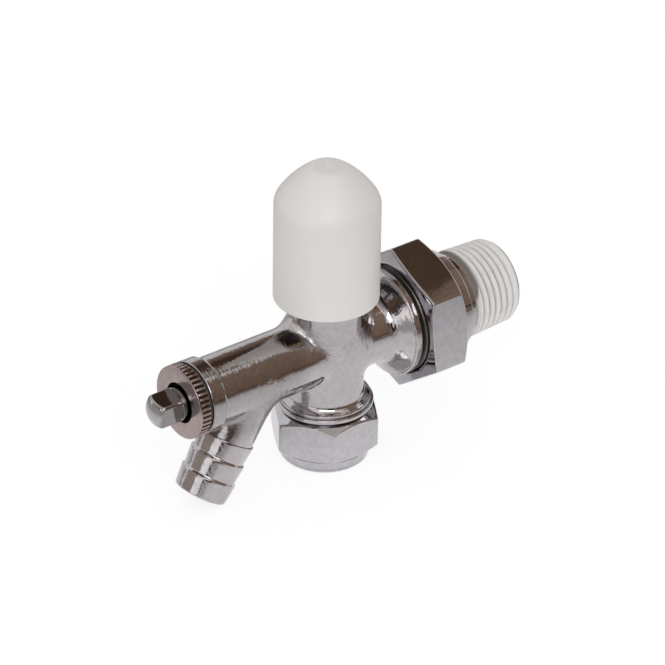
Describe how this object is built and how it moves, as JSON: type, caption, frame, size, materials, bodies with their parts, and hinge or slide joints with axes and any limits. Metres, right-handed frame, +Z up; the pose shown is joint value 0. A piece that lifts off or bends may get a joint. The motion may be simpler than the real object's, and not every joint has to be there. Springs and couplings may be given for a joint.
{
  "type": "radiator valve",
  "caption": "Angle lockshield radiator valve with compression inlet, union tail, push-on white cap, and a side drain arm with square-headed spindle and hose barb.",
  "frame": {"origin": "centre of the pipe opening in the compression nut's bottom face", "axes": "+Z up the pipe and spindle axis to the cap, +X along the radiator tail, -X along the drain arm"},
  "size_m": [0.1015, 0.0332, 0.079],
  "materials": {
    "chromed_casting": "bright chrome plate over a slightly uneven brass casting",
    "chromed_turned": "bright chrome plate over turned brass",
    "brass": "plain turned brass",
    "white_cap": "satin moulded plastic, slightly translucent",
    "white_seal": "matt sealing strip pressed into the thread",
    "black_rubber": "matt moulded rubber",
    "red_fibre": "pressed fibre sheet"
  },
  "bodies": {
    "valve": {"valve_body": "chromed_casting", "bonnet": "brass", "bonnet_washer": "red_fibre"},
    "cap": {"lockshield_cap": "white_cap"},
    "disc": {"valve_disc": "brass", "seat_washer": "black_rubber", "washer_nut": "brass"},
    "spindle": {"valve_spindle": "brass", "spindle_o_ring_lower": "black_rubber", "spindle_o_ring_upper": "black_rubber"},
    "tail": {"radiator_tail": "chromed_turned", "thread_seal": "white_seal"},
    "union_nut": {"union_nut": "chromed_turned"},
    "olive": {"olive": "brass"},
    "compression_nut": {"compression_nut": "chromed_turned"},
    "drain_washer": {"drain_seat_washer": "black_rubber"},
    "drain_spindle": {"drain_spindle": "chromed_turned", "drain_o_ring": "black_rubber"},
    "gland_washer": {"drain_gland_washer": "black_rubber"},
    "gland_nut": {"drain_gland_nut": "chromed_turned"}
  },
  "joints": [
    {"name": "cap_pull", "type": "slide", "parent": "valve", "child": "cap", "axis": [0, 0, 1], "range_m": [0, 0.03]},
    {"name": "disc_rise", "type": "slide", "parent": "valve", "child": "disc", "axis": [0, 0, 1], "range_m": [0, 0.0045]},
    {"name": "spindle_turn", "type": "hinge", "parent": "disc", "child": "spindle", "pos_m": [0, 0, 0.04], "axis": [0, 0, 1], "range_deg": [0, 1080]},
    {"name": "tail_draw", "type": "slide", "parent": "valve", "child": "tail", "axis": [1, 0, 0], "range_m": [0, 0.00726]},
    {"name": "union_turn", "type": "hinge", "parent": "tail", "child": "union_nut", "pos_m": [0.027, 0, 0.0291], "axis": [1, 0, 0], "range_deg": [0, 1440]},
    {"name": "olive_drop", "type": "slide", "parent": "valve", "child": "olive", "axis": [0, 0, -1], "range_m": [0, 0.00908]},
    {"name": "compression_turn", "type": "hinge", "parent": "olive", "child": "compression_nut", "pos_m": [0, 0, 0.006], "axis": [0, 0, -1], "range_deg": [0, 1800]},
    {"name": "drain_washer_slide", "type": "slide", "parent": "valve", "child": "drain_washer", "axis": [-1, 0, 0], "range_m": [0, 0.00376]},
    {"name": "drain_turn", "type": "hinge", "parent": "drain_washer", "child": "drain_spindle", "pos_m": [-0.03, 0, 0.0291], "axis": [-1, 0, 0], "range_deg": [0, 900]},
    {"name": "gland_washer_slide", "type": "slide", "parent": "valve", "child": "gland_washer", "axis": [-1, 0, 0], "range_m": [0, 0.00401]},
    {"name": "gland_turn", "type": "hinge", "parent": "gland_washer", "child": "gland_nut", "pos_m": [-0.039, 0, 0.0291], "axis": [-1, 0, 0], "range_deg": [0, 1440]}
  ],
  "couplings": [
    {"joint": "disc_rise", "follows": "spindle_turn", "m_per_rad": 0.00023873},
    {"joint": "tail_draw", "follows": "union_turn", "m_per_rad": 0.00028871},
    {"joint": "olive_drop", "follows": "compression_turn", "m_per_rad": 0.00028871},
    {"joint": "drain_washer_slide", "follows": "drain_turn", "m_per_rad": 0.00023873},
    {"joint": "gland_washer_slide", "follows": "gland_turn", "m_per_rad": 0.00015915}
  ]
}
